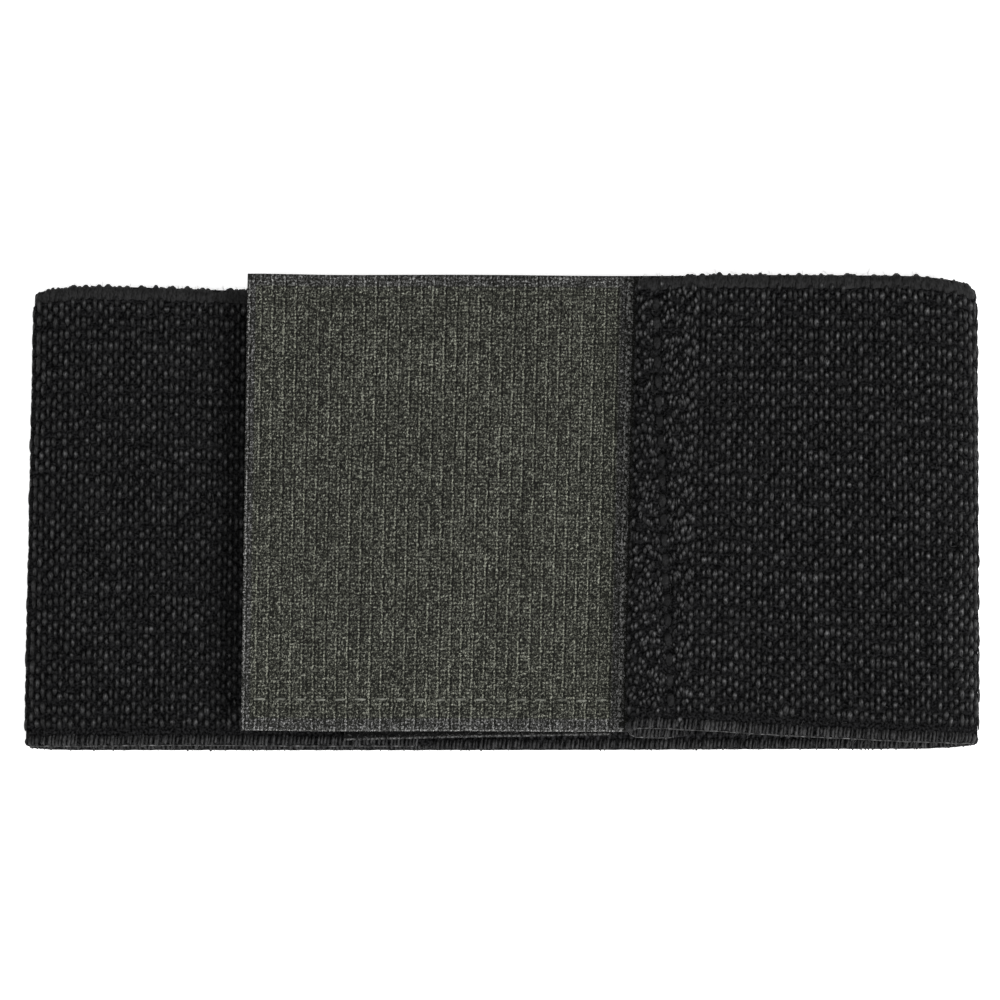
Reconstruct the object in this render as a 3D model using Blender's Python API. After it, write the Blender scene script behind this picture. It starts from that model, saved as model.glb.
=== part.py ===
"""A blousing garter: a wide woven elastic band, closed into a loop by a hook-and-loop tab.

The garter is pressed flat and lies on the back layer of its band. The band runs along X, its width
is along Y and Z points up. The origin is under the middle of the garter, on the surface it lies on.
Sizes are in metres.
"""

import math

import bmesh
import bpy
from mathutils import Matrix

# The elastic band
BAND_WIDTH = 0.0600
BAND_THICK = 0.0015
FLAT_LENGTH = 0.1214  # from the left fold to the right fold, pressed flat
LEFT_FOLD_HEIGHT = 0.0048
LEFT_FOLD_NOSE = 0.0068  # how far the left fold's round end reaches past its crest
RIGHT_FOLD_HEIGHT = 0.0080
RIGHT_FOLD_NOSE = 0.0090
FRONT_SAG = 0.0003  # how far the front layer sags between the hem and the right fold
SELVEDGE_ROUND = 0.0004  # how far the woven edge rounds off
SKEW = 0.0010  # how far the wrap drifts sideways, which the tables below take shares of

# The hem, where the band's end is turned under and sewn on the tab
HEM_TURN = 0.0080
HEM_THICK = 0.0013  # each of its two layers, which the stitches press thinner
HEM_SLANT = 0.0009  # how far its far corner lies to the right of its middle

# The tab and its hook tape
STRIP_SHOWS = 0.0278  # band that shows between the left fold and the tab
TAB_SHOWS = 0.0491  # from the tab's free end to the hem
TAB_UNDER_HEM = 0.0070
TAB_WIDTH = 0.0594
TAB_THICK = 0.0006
TAB_LIFT = 0.0009  # how far the tab's free end stands up
TAB_LIFT_LENGTH = 0.0130
TAB_DROP = 0.0009  # how much lower the tab lies at the hem than on the loop tape
HOOK_WIDTH = 0.0580
HOOK_THICK = 0.0006
HOOK_SETBACK = 0.0005  # from the tab's ends to the hook tape's ends

# The loop tape, sewn on the band's other end
LOOP_WIDTH = 0.0584
LOOP_THICK = 0.0009
LOOP_SEAM = 0.0112  # loop tape that lies on the band's end
STRIP_UNDER_TAB = 0.0240  # from the tab's free end to the band's end
LOOP_SHORT = 0.0025  # how far the loop tape stops before the hem

LAYER_GAP = 0.0003  # between layers that lie on each other
TAPE_ROUND = 0.00015

# How finely the shapes are cut up
STEP = 0.0022
FOLD_STEPS = 16
HEM_FOLD_STEPS = 8

# The band along its path, whose nine stretches are counted from 0: the turned end, the hem's fold,
# the front layer over the turned end, the front layer, the right fold, the back layer, the left
# fold, the front strip down to the loop tape, and the front strip under it. Drift is a share of
# SKEW towards +Y, width one of BAND_WIDTH, slant one of HEM_SLANT, and pressed is how far the
# band's thickness has gone from BAND_THICK to HEM_THICK.
BAND_TABLE = (
    {"at": 0.00, "drift": 0.40, "width": 0.993, "slant": 1.00, "pressed": 1.0},
    {"at": 1.00, "drift": 0.45, "width": 0.993, "slant": 1.00, "pressed": 1.0},
    {"at": 2.00, "drift": 0.88, "width": 0.980, "slant": 1.00, "pressed": 1.0},
    {"at": 3.00, "drift": 0.86, "width": 0.986, "slant": 0.90, "pressed": 1.0},
    {"at": 3.40, "drift": 0.76, "width": 0.999, "slant": 0.60, "pressed": 0.0},
    {"at": 3.70, "drift": 0.50, "width": 1.005, "slant": 0.30, "pressed": 0.0},
    {"at": 4.00, "drift": 0.22, "width": 1.010, "slant": 0.30, "pressed": 0.0},
    {"at": 4.25, "drift": 0.00, "width": 1.004, "slant": 0.40, "pressed": 0.0},
    {"at": 4.50, "drift": -0.20, "width": 0.987, "slant": 0.40, "pressed": 0.0},
    {"at": 5.00, "drift": 0.10, "width": 0.998, "slant": 0.20, "pressed": 0.0},
    {"at": 5.50, "drift": 0.00, "width": 1.000, "slant": 0.00, "pressed": 0.0},
    {"at": 6.00, "drift": 0.00, "width": 1.000, "slant": 0.10, "pressed": 0.0},
    {"at": 6.50, "drift": -0.26, "width": 0.989, "slant": 0.15, "pressed": 0.0},
    {"at": 7.00, "drift": -0.10, "width": 1.000, "slant": 0.10, "pressed": 0.0},
    {"at": 7.60, "drift": -0.13, "width": 0.991, "slant": 0.00, "pressed": 0.0},
    {"at": 9.00, "drift": -0.15, "width": 0.990, "slant": 0.00, "pressed": 0.0},
)

# The front layer from the hem to the right fold's crest. The first column is how much is left of
# its height over the hem, and the second how far it has risen from its lowest sag to the crest.
FRONT_TABLE = (
    {"along": 0.00, "over_hem": 1.0, "to_crest": 0.0},
    {"along": 0.40, "over_hem": 0.0, "to_crest": 0.1},
    {"along": 0.75, "over_hem": 0.0, "to_crest": 0.7},
    {"along": 1.00, "over_hem": 0.0, "to_crest": 1.0},
)

# The front strip from the left fold's crest down to the loop tape, with its height as a share of
# the crest's height above the level at which it lies flat.
STRIP_TABLE = (
    {"along": 0.00, "height": 1.00},
    {"along": 0.15, "height": 0.98},
    {"along": 0.38, "height": 0.78},
    {"along": 0.58, "height": 0.38},
    {"along": 0.80, "height": 0.08},
    {"along": 1.00, "height": 0.00},
)

# Drift of the tapes, as shares of SKEW, from their left ends to their right ends.
TAB_DRIFT = (1.14, 1.30)
LOOP_DRIFT = (-0.10, 0.75)
TAB_END_SLANT = 0.2  # slant of the tab's free end, as a share of HEM_SLANT

# Heights of the layers over the surface, from the bottom up
strip_under = BAND_THICK + LAYER_GAP
loop_under = strip_under + BAND_THICK + LAYER_GAP
hook_under = loop_under + LOOP_THICK + LAYER_GAP
tab_over_hook = HOOK_THICK + LAYER_GAP
hem_under = hook_under - TAB_DROP + tab_over_hook + TAB_THICK + LAYER_GAP
hem_top_middle = hem_under + 1.5 * HEM_THICK + LAYER_GAP

# Places along the band, from the left
left_end = -FLAT_LENGTH / 2
tab_left = left_end + STRIP_SHOWS
strip_right = tab_left + STRIP_UNDER_TAB
loop_left = strip_right - LOOP_SEAM
hem_left = tab_left + TAB_SHOWS
loop_right = hem_left - LOOP_SHORT
tab_right = hem_left + TAB_UNDER_HEM
hem_right = hem_left + HEM_TURN
right_end = FLAT_LENGTH / 2


def read(table, key, column, at):
    """A smooth curve through one column of a table, level at both of its ends."""
    keys = [row[key] for row in table]
    values = [row[column] for row in table]
    at = min(max(at, keys[0]), keys[-1])
    last = len(table) - 1
    slopes = [0.0]
    for i in range(1, last):
        slopes.append((values[i + 1] - values[i - 1]) / (keys[i + 1] - keys[i - 1]))
    slopes.append(0.0)
    i = max(k for k in range(last) if keys[k] <= at)
    span = keys[i + 1] - keys[i]
    t = (at - keys[i]) / span
    bend_in = t * (1 - t) ** 2
    bend_out = t * t * (t - 1)
    swing = t * t * (3 - 2 * t)
    level = values[i] + (values[i + 1] - values[i]) * swing
    return level + span * (slopes[i] * bend_in + slopes[i + 1] * bend_out)


def ramp(share):
    """A smooth step from 0 to 1."""
    share = min(max(share, 0.0), 1.0)
    return share * share * (3 - 2 * share)


def places(start, end):
    """Evenly spaced places from start to end, about STEP apart."""
    count = max(2, round(abs(end - start) / STEP))
    return [start + (end - start) * i / count for i in range(count + 1)]


def layer(start, end, height):
    """Path points (x, z, heading) of a layer that runs from start to end at height(x)."""
    way = 1 if end > start else -1
    reach = STEP / 50
    points = []
    for x in places(start, end):
        rise = (height(x + reach) - height(x - reach)) / (2 * reach)
        points.append((x, height(x), math.atan2(way * rise, way)))
    return points


def fold(centre, height, radii, start, steps):
    """Path points of a half turn on an ellipse, clockwise as seen from -Y.

    The start is the angle of its first point, 0 at the top and pi at the bottom.
    """
    points = []
    for i in range(steps + 1):
        turn = start + math.pi * i / steps
        across = math.sin(turn)
        up = math.cos(turn)
        heading = math.atan2(-radii[1] * across, radii[0] * up)
        points.append((centre + radii[0] * across, height + radii[1] * up, heading))
    return points


def strip_body(name, path, sections, edge_round, material):
    """A closed strip along a path of (x, z, heading), with one section for each point.

    A section holds the strip's drift, width and thickness there, and the slant of its far edge.
    """
    mesh = bmesh.new()
    rings = []
    for (x, z, heading), (drift, width, thick, slant) in zip(path, sections, strict=True):
        half = width / 2
        shoulder = half - edge_round
        crossing = [-shoulder, -shoulder / 2, 0.0, shoulder / 2, shoulder]
        outline = [(across, thick / 2) for across in crossing]
        outline.append((half, 0.0))
        outline += [(across, -thick / 2) for across in reversed(crossing)]
        outline.append((-half, 0.0))
        ring = []
        for across, out in outline:
            point_x = x - math.sin(heading) * out + slant * across / half
            point_z = z + math.cos(heading) * out
            ring.append(mesh.verts.new((point_x, drift + across, point_z)))
        rings.append(ring)
    for before, after in zip(rings[:-1], rings[1:], strict=True):
        count = len(before)
        for i in range(count):
            j = (i + 1) % count
            mesh.faces.new((before[i], before[j], after[j], after[i]))
    mesh.faces.new(reversed(rings[0]))
    mesh.faces.new(rings[-1])
    bmesh.ops.recalc_face_normals(mesh, faces=mesh.faces)
    data = bpy.data.meshes.new(name)
    mesh.to_mesh(data)
    mesh.free()
    data.materials.append(material)
    data.shade_smooth()
    data.set_sharp_from_angle(angle=math.radians(40))
    body = bpy.data.objects.new(name, data)
    bpy.context.scene.collection.objects.link(body)
    return body


def cloth(name, colour, roughness):
    """A Principled material for one of the garter's fabrics."""
    material = bpy.data.materials.new(name)
    material.use_nodes = True
    shader = material.node_tree.nodes["Principled BSDF"]
    shader.inputs["Base Color"].default_value = (*colour, 1.0)
    shader.inputs["Roughness"].default_value = roughness
    shader.inputs["Metallic"].default_value = 0.0
    return material


def front_height(x):
    """The middle of the front layer, between the hem and the right fold's crest."""
    along = (x - hem_right) / (right_crest_x - hem_right)
    crest = RIGHT_FOLD_HEIGHT - BAND_THICK / 2
    lowest = crest - FRONT_SAG
    over_hem = (hem_top_middle - lowest) * read(FRONT_TABLE, "along", "over_hem", along)
    to_crest = (crest - lowest) * read(FRONT_TABLE, "along", "to_crest", along)
    return lowest + over_hem + to_crest


def strip_height(x):
    """The middle of the front strip, between the left fold's crest and its flat end."""
    flat = strip_under + BAND_THICK / 2
    crest = LEFT_FOLD_HEIGHT - BAND_THICK / 2
    along = (x - left_crest_x) / (loop_left - left_crest_x)
    return flat + (crest - flat) * read(STRIP_TABLE, "along", "height", along)


def hook_height(x):
    """The hook tape's under face: raised at the tab's free end, and lower towards the hem."""
    lift = TAB_LIFT * (1 - ramp((x - tab_left) / TAB_LIFT_LENGTH))
    drop = TAB_DROP * ramp((x - strip_right) / (hem_left - strip_right))
    return hook_under + lift - drop


def tape_sections(path, width, thick, drifts, slants):
    """Sections of a tape of even width that drifts and slants evenly along its path."""
    sections = []
    for x, _, _ in path:
        share = (x - path[0][0]) / (path[-1][0] - path[0][0])
        drift = SKEW * (drifts[0] + (drifts[1] - drifts[0]) * share)
        slant = HEM_SLANT * (slants[0] + (slants[1] - slants[0]) * share)
        sections.append((drift, width, thick, slant))
    return sections


def centre_over_origin(bodies):
    """Moves the bodies together, so that the origin is under the middle of them all."""
    corners = [vertex.co for body in bodies for vertex in body.data.vertices]
    middle_x = (min(co.x for co in corners) + max(co.x for co in corners)) / 2
    middle_y = (min(co.y for co in corners) + max(co.y for co in corners)) / 2
    for body in bodies:
        body.data.transform(Matrix.Translation((-middle_x, -middle_y, 0.0)))


for existing in list(bpy.data.objects):
    bpy.data.objects.remove(existing, do_unlink=True)

# The elastic band: one strip, from its turned-under end round both folds to its end under the tab
hem_fold_radius = (HEM_THICK + LAYER_GAP) / 2
hem_fold_x = hem_left + hem_fold_radius + HEM_THICK / 2
right_crest_x = right_end - RIGHT_FOLD_NOSE
left_crest_x = left_end + LEFT_FOLD_NOSE
right_radii = (RIGHT_FOLD_NOSE - BAND_THICK / 2, (RIGHT_FOLD_HEIGHT - BAND_THICK) / 2)
left_radii = (LEFT_FOLD_NOSE - BAND_THICK / 2, (LEFT_FOLD_HEIGHT - BAND_THICK) / 2)
hem_middle = hem_top_middle - hem_fold_radius
stretches = [
    layer(hem_right, hem_fold_x, lambda x: hem_top_middle - 2 * hem_fold_radius),
    fold(hem_fold_x, hem_middle, (hem_fold_radius, hem_fold_radius), math.pi, HEM_FOLD_STEPS),
    layer(hem_fold_x, hem_right, lambda x: hem_top_middle),
    layer(hem_right, right_crest_x, front_height),
    fold(right_crest_x, RIGHT_FOLD_HEIGHT / 2, right_radii, 0.0, FOLD_STEPS),
    layer(right_crest_x, left_crest_x, lambda x: BAND_THICK / 2),
    fold(left_crest_x, LEFT_FOLD_HEIGHT / 2, left_radii, math.pi, FOLD_STEPS),
    layer(left_crest_x, loop_left, strip_height),
    layer(loop_left, strip_right, strip_height),
]
band_path = []
band_sections = []
for number, stretch in enumerate(stretches):
    # A stretch's last point is the next one's first.
    kept = stretch if number == len(stretches) - 1 else stretch[:-1]
    for i, point in enumerate(kept):
        at = number + i / (len(stretch) - 1)
        drift = SKEW * read(BAND_TABLE, "at", "drift", at)
        width = BAND_WIDTH * read(BAND_TABLE, "at", "width", at)
        pressed = read(BAND_TABLE, "at", "pressed", at)
        thick = BAND_THICK + (HEM_THICK - BAND_THICK) * pressed
        slant = HEM_SLANT * read(BAND_TABLE, "at", "slant", at)
        band_path.append(point)
        band_sections.append((drift, width, thick, slant))
black_elastic = cloth("black_elastic", (0.013, 0.013, 0.014), 0.85)
band = strip_body("elastic_band", band_path, band_sections, SELVEDGE_ROUND, black_elastic)

# The tab's woven tape, whose right end goes in under the hem
tab_path = layer(tab_left, tab_right, lambda x: hook_height(x) + tab_over_hook + TAB_THICK / 2)
tab_sections = tape_sections(tab_path, TAB_WIDTH, TAB_THICK, TAB_DRIFT, (TAB_END_SLANT, 1.0))
olive_tape = cloth("olive_tape", (0.052, 0.053, 0.044), 0.75)
tab = strip_body("tab_backing", tab_path, tab_sections, TAPE_ROUND, olive_tape)

# The hook tape under it
hook_left = tab_left + HOOK_SETBACK
hook_right = tab_right - HOOK_SETBACK
hook_path = layer(hook_left, hook_right, lambda x: hook_height(x) + HOOK_THICK / 2)
hook_sections = tape_sections(hook_path, HOOK_WIDTH, HOOK_THICK, TAB_DRIFT, (TAB_END_SLANT, 1.0))
olive_hooks = cloth("olive_hooks", (0.040, 0.041, 0.035), 0.55)
hooks = strip_body("hook_tape", hook_path, hook_sections, TAPE_ROUND, olive_hooks)

# The loop tape, on the band's end and on towards the hem
loop_under_hooks = LAYER_GAP + LOOP_THICK / 2
loop_path = layer(loop_left, loop_right, lambda x: hook_height(x) - loop_under_hooks)
loop_sections = tape_sections(loop_path, LOOP_WIDTH, LOOP_THICK, LOOP_DRIFT, (0.0, 0.0))
grey_loops = cloth("grey_loops", (0.045, 0.046, 0.045), 0.90)
loops = strip_body("loop_tape", loop_path, loop_sections, TAPE_ROUND, grey_loops)

centre_over_origin((band, tab, hooks, loops))
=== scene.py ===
import math

import bmesh
import bpy
import numpy as np
from mathutils import Matrix, Vector


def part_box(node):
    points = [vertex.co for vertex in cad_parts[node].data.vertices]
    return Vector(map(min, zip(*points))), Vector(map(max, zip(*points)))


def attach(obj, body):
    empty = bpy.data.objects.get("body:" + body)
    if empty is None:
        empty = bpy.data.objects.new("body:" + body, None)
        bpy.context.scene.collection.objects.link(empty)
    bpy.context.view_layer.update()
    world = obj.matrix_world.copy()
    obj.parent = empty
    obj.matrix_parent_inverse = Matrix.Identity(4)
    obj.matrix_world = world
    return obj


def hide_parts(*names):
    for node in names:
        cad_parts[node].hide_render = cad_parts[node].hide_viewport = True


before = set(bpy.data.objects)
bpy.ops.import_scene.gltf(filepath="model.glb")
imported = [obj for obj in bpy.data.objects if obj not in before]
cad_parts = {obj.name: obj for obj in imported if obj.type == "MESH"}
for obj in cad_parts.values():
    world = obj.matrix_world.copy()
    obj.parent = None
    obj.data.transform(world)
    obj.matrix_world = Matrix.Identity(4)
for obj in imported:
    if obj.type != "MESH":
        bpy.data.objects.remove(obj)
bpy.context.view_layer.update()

# The band's cloth
# Black elastic webbing, whose rubber warps stand as ribs along a strip 60 mm wide. It is one strip:
# its right end is turned under as a hem, and it runs on over the front, round the right fold, under
# the back and round the left fold, to its other end below the tab.
BAND_WIDTH = 0.0600
BAND_THICK = 0.0015
FLAT_LENGTH = 0.1214  # from fold to fold, pressed flat
LEFT_FOLD_HEIGHT = 0.0048
LEFT_FOLD_NOSE = 0.0068
RIGHT_FOLD_HEIGHT = 0.0080
RIGHT_FOLD_NOSE = 0.0090
FRONT_SAG = 0.0003
SKEW = 0.0010
HEM_TURN = 0.0080
HEM_THICK = 0.0013
HEM_SLANT = 0.0009
STRIP_SHOWS = 0.0278  # band between the left fold and the tab
TAB_SHOWS = 0.0491
TAB_THICK = 0.0006
TAB_LIFT = 0.0009  # how far the tab's free end stands up
TAB_LIFT_LENGTH = 0.0130
TAB_DROP = 0.0009  # how much lower the tab lies at the hem
HOOK_THICK = 0.0006
LOOP_THICK = 0.0009
LOOP_SEAM = 0.0112  # loop tape that lies on the band's end
STRIP_UNDER_TAB = 0.0240
LAYER_GAP = 0.0003
LEAST_HEIGHT = 0.00001

# Nine stretches of the band are counted from 0: turned end, hem fold, front over the turned end,
# front, right fold, back, left fold, strip down to the loop tape, and strip under it. Drift is a
# share of SKEW, width one of BAND_WIDTH, slant one of HEM_SLANT, and pressed one of HEM_THICK.
BAND_TABLE = (
    {"at": 0.00, "drift": 0.40, "width": 0.993, "slant": 1.00, "pressed": 1.0},
    {"at": 1.00, "drift": 0.45, "width": 0.993, "slant": 1.00, "pressed": 1.0},
    {"at": 2.00, "drift": 0.88, "width": 0.980, "slant": 1.00, "pressed": 1.0},
    {"at": 3.00, "drift": 0.86, "width": 0.986, "slant": 0.90, "pressed": 1.0},
    {"at": 3.40, "drift": 0.76, "width": 0.999, "slant": 0.60, "pressed": 0.0},
    {"at": 3.70, "drift": 0.50, "width": 1.005, "slant": 0.30, "pressed": 0.0},
    {"at": 4.00, "drift": 0.22, "width": 1.010, "slant": 0.30, "pressed": 0.0},
    {"at": 4.25, "drift": 0.00, "width": 1.004, "slant": 0.40, "pressed": 0.0},
    {"at": 4.50, "drift": -0.20, "width": 0.987, "slant": 0.40, "pressed": 0.0},
    {"at": 5.00, "drift": 0.10, "width": 0.998, "slant": 0.20, "pressed": 0.0},
    {"at": 5.50, "drift": 0.00, "width": 1.000, "slant": 0.00, "pressed": 0.0},
    {"at": 6.00, "drift": 0.00, "width": 1.000, "slant": 0.10, "pressed": 0.0},
    {"at": 6.50, "drift": -0.26, "width": 0.989, "slant": 0.15, "pressed": 0.0},
    {"at": 7.00, "drift": -0.10, "width": 1.000, "slant": 0.10, "pressed": 0.0},
    {"at": 7.60, "drift": -0.13, "width": 0.991, "slant": 0.00, "pressed": 0.0},
    {"at": 9.00, "drift": -0.15, "width": 0.990, "slant": 0.00, "pressed": 0.0},
)
FRONT_TABLE = (
    {"along": 0.00, "over_hem": 1.0, "to_crest": 0.0},
    {"along": 0.40, "over_hem": 0.0, "to_crest": 0.1},
    {"along": 0.75, "over_hem": 0.0, "to_crest": 0.7},
    {"along": 1.00, "over_hem": 0.0, "to_crest": 1.0},
)
STRIP_TABLE = (
    {"along": 0.00, "height": 1.00},
    {"along": 0.15, "height": 0.98},
    {"along": 0.38, "height": 0.78},
    {"along": 0.58, "height": 0.38},
    {"along": 0.80, "height": 0.08},
    {"along": 1.00, "height": 0.00},
)

strip_under = BAND_THICK + LAYER_GAP
loop_under = strip_under + BAND_THICK + LAYER_GAP
hook_under = loop_under + LOOP_THICK + LAYER_GAP
tab_over_hook = HOOK_THICK + LAYER_GAP
hem_under = hook_under - TAB_DROP + tab_over_hook + TAB_THICK + LAYER_GAP
hem_top_middle = hem_under + 1.5 * HEM_THICK + LAYER_GAP
left_end = -FLAT_LENGTH / 2
right_end = FLAT_LENGTH / 2
tab_left = left_end + STRIP_SHOWS
strip_right = tab_left + STRIP_UNDER_TAB
loop_left = strip_right - LOOP_SEAM
hem_left = tab_left + TAB_SHOWS
hem_right = hem_left + HEM_TURN
left_crest = left_end + LEFT_FOLD_NOSE
right_crest = right_end - RIGHT_FOLD_NOSE


def read(table, key, column, at):
    """A smooth curve through one column of a table, level at both of its ends."""
    keys = np.array([row[key] for row in table])
    values = np.array([row[column] for row in table])
    slopes = np.zeros(len(table))
    slopes[1:-1] = (values[2:] - values[:-2]) / (keys[2:] - keys[:-2])
    i = np.clip(np.searchsorted(keys, at, side="right") - 1, 0, len(table) - 2)
    span = keys[i + 1] - keys[i]
    t = np.clip((at - keys[i]) / span, 0.0, 1.0)
    level = values[i] + (values[i + 1] - values[i]) * t * t * (3 - 2 * t)
    return level + span * (slopes[i] * t * (1 - t) ** 2 + slopes[i + 1] * t * t * (t - 1))


def ramp(share):
    """A smooth step from 0 to 1."""
    share = np.clip(share, 0.0, 1.0)
    return share * share * (3 - 2 * share)


def hook_height(x):
    """The hook tape's under face: raised at the tab's free end, and lower towards the hem."""
    lift = TAB_LIFT * (1 - ramp((x - tab_left) / TAB_LIFT_LENGTH))
    drop = TAB_DROP * ramp((x - strip_right) / (hem_left - strip_right))
    return hook_under + lift - drop


def front_height(x):
    """The middle of the front layer, between the hem and the right fold's crest."""
    along = (x - hem_right) / (right_crest - hem_right)
    crest = RIGHT_FOLD_HEIGHT - BAND_THICK / 2
    lowest = crest - FRONT_SAG
    over_hem = (hem_top_middle - lowest) * read(FRONT_TABLE, "along", "over_hem", along)
    return lowest + over_hem + (crest - lowest) * read(FRONT_TABLE, "along", "to_crest", along)


def strip_height(x):
    """The middle of the front strip, between the left fold's crest and its flat end."""
    flat = strip_under + BAND_THICK / 2
    crest = LEFT_FOLD_HEIGHT - BAND_THICK / 2
    along = (x - left_crest) / (loop_left - left_crest)
    return flat + (crest - flat) * read(STRIP_TABLE, "along", "height", along)


def layer(start, end, height):
    """The x and z of a layer's middle, from start to end."""
    x = np.linspace(start, end, LINE_STEPS)
    return np.stack([x, height(x)])


def fold(centre, height, radii, start):
    """The x and z of a half turn on an ellipse, clockwise as seen from -Y."""
    turn = start + np.linspace(0.0, math.pi, LINE_STEPS)
    return np.stack([centre + radii[0] * np.sin(turn), height + radii[1] * np.cos(turn)])


LINE_STEPS = 400
hem_radius = (HEM_THICK + LAYER_GAP) / 2
hem_fold_x = hem_left + hem_radius + HEM_THICK / 2
stretches = [
    layer(hem_right, hem_fold_x, lambda x: 0 * x + hem_top_middle - 2 * hem_radius),
    fold(hem_fold_x, hem_top_middle - hem_radius, (hem_radius, hem_radius), math.pi),
    layer(hem_fold_x, hem_right, lambda x: 0 * x + hem_top_middle),
    layer(hem_right, right_crest, front_height),
    fold(
        right_crest,
        RIGHT_FOLD_HEIGHT / 2,
        (RIGHT_FOLD_NOSE - BAND_THICK / 2, (RIGHT_FOLD_HEIGHT - BAND_THICK) / 2),
        0.0,
    ),
    layer(right_crest, left_crest, lambda x: 0 * x + BAND_THICK / 2),
    fold(
        left_crest,
        LEFT_FOLD_HEIGHT / 2,
        (LEFT_FOLD_NOSE - BAND_THICK / 2, (LEFT_FOLD_HEIGHT - BAND_THICK) / 2),
        math.pi,
    ),
    layer(left_crest, loop_left, strip_height),
    layer(loop_left, strip_right, strip_height),
]
# Each stretch's last point is the next one's first, so it is left out.
line_x, line_z = np.concatenate([stretch[:, :-1] for stretch in stretches], axis=1)
line_at = np.concatenate([k + np.linspace(0, 1, LINE_STEPS)[:-1] for k in range(len(stretches))])
line_length = np.concatenate([[0.0], np.cumsum(np.hypot(np.diff(line_x), np.diff(line_z)))])
line_heading = np.unwrap(np.arctan2(np.gradient(line_z), np.gradient(line_x)))
line_bend = np.abs(np.gradient(line_heading, line_length))
band_length = float(line_length[-1])


def along_at(at):
    """How far along the band a place in its nine stretches is."""
    return float(np.interp(at, line_at, line_length))


def on_band(flat):
    """Lays flat points of the band, given as along, across and out, where the real band runs."""
    along, across, out = flat.T
    x = np.interp(along, line_length, line_x)
    z = np.interp(along, line_length, line_z)
    heading = np.interp(along, line_length, line_heading)
    at = np.interp(along, line_length, line_at)
    pressed = read(BAND_TABLE, "at", "pressed", at)
    out = out * (1 + (HEM_THICK / BAND_THICK - 1) * pressed)
    slant = HEM_SLANT * read(BAND_TABLE, "at", "slant", at) * across / (BAND_WIDTH / 2)
    y = SKEW * read(BAND_TABLE, "at", "drift", at) + across * read(BAND_TABLE, "at", "width", at)
    # The back layer is pressed flat by what it lies on.
    z = np.maximum(z + np.cos(heading) * out, LEAST_HEIGHT)
    return np.stack([x - np.sin(heading) * out + slant, y, z], axis=1)


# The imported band's box gives the middle that all of it is moved to.
edge_along = np.repeat(line_length, 4)
edge_across = np.tile([1, 1, -1, -1], len(line_length)) * BAND_WIDTH / 2
edge_out = np.tile([1, -1, 1, -1], len(line_length)) * BAND_THICK / 2
laid_edges = on_band(np.stack([edge_along, edge_across, edge_out], axis=1))
band_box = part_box("elastic_band")
packed_middle = (np.array(band_box[0]) + np.array(band_box[1])) / 2
laid_middle = (laid_edges.min(axis=0) + laid_edges.max(axis=0)) / 2
to_frame = (packed_middle - laid_middle) * (1, 1, 0)


def on_elastic(flat):
    """Lays flat points of the band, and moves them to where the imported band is."""
    return on_band(flat) + to_frame


RIB_PITCH = 0.001747
RIBS = 32
RIBS_MIDDLE = 0.00027  # the ribs lie a little nearer to the band's far edge
RIB_DEPTH = 0.00024
PICK_PROUD = 0.00022  # how far the weft stands over the ribs
rib_places = (np.arange(RIBS) - (RIBS - 1) / 2) * RIB_PITCH + RIBS_MIDDLE
ribbed_half = RIBS / 2 * RIB_PITCH


def rib_shape(across):
    """How high the ribs stand at a place across the band, from 0 in a groove to 1."""
    off = across - RIBS_MIDDLE
    ribs = np.abs(np.cos(math.pi * off / RIB_PITCH)) ** 0.6
    return np.where(np.abs(off) < ribbed_half, ribs, 0.0)


STITCH_PITCH = 0.00262
HEM_STITCHES = 21
HEM_STITCH_FROM_FOLD = 0.0039  # at the band's middle
HEM_STITCH_LEAN = 0.0018  # how much nearer the fold the row lies at the band's far edge
PIT_DEPTH = 0.00075
PIT_REACH = 0.00072
ROW_DEPTH = 0.00020
ROW_REACH = 0.0007
ROW_FADE = 0.002  # how near to the band's edges the stitches' pull dies out
hem_fold_along = along_at(1.5)
hem_holes_across = (np.arange(HEM_STITCHES + 1) - HEM_STITCHES / 2) * STITCH_PITCH


def hem_row(across):
    """Where along the band the hem's row of stitches runs."""
    return hem_fold_along + HEM_STITCH_FROM_FOLD - HEM_STITCH_LEAN * across / (BAND_WIDTH / 2)


def hem_dent(along, across):
    """How far the hem's stitches pull the cloth in."""
    off = along - hem_row(across)
    nearest = np.round((across - hem_holes_across[0]) / STITCH_PITCH)
    nearest = np.clip(nearest, 0, HEM_STITCHES) * STITCH_PITCH + hem_holes_across[0]
    hole = np.hypot(off, across - nearest)
    inside = ramp((BAND_WIDTH / 2 - np.abs(across)) / ROW_FADE)
    row = ROW_DEPTH * np.exp(-((off / ROW_REACH) ** 2))
    return inside * (row + PIT_DEPTH * np.exp(-((hole / PIT_REACH) ** 2)))


TIGHT_BEND = 0.0013  # metres: a fold this round is as tight as they come
FOLD_STAND = 0.0002  # how much further out the cloth stands there


def tightness(along):
    """How tightly the loop is folded at a place along the band, from 0 to 1, the hem left out."""
    loop_bend = np.where(line_at > 3, line_bend, 0.0)
    return ramp(np.interp(along, line_length, loop_bend) * TIGHT_BEND)


def strip_of(outline, places):
    """A closed flat strip: an outline of (across, out) points, drawn out along X to each place."""
    mesh = bmesh.new()
    corners = [mesh.verts.new((0.0, across, out)) for across, out in outline]
    for corner, following in zip(corners, corners[1:] + corners[:1], strict=True):
        mesh.edges.new((corner, following))
    bmesh.ops.spin(
        mesh,
        geom=mesh.verts[:] + mesh.edges[:],
        cent=(0, 0, 0),
        axis=(1, 0, 0),
        dvec=(1, 0, 0),
        angle=0.0,
        steps=len(places) - 1,
    )
    bmesh.ops.holes_fill(mesh, edges=mesh.edges, sides=0)
    bmesh.ops.recalc_face_normals(mesh, faces=mesh.faces)
    for vertex in mesh.verts:
        vertex.co.x = places[round(vertex.co.x)]
    return mesh


def mesh_of(name, mesh):
    """Turns a bmesh into a mesh that can wear a material."""
    data = bpy.data.meshes.new(name)
    mesh.to_mesh(data)
    mesh.free()
    return data


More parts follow.
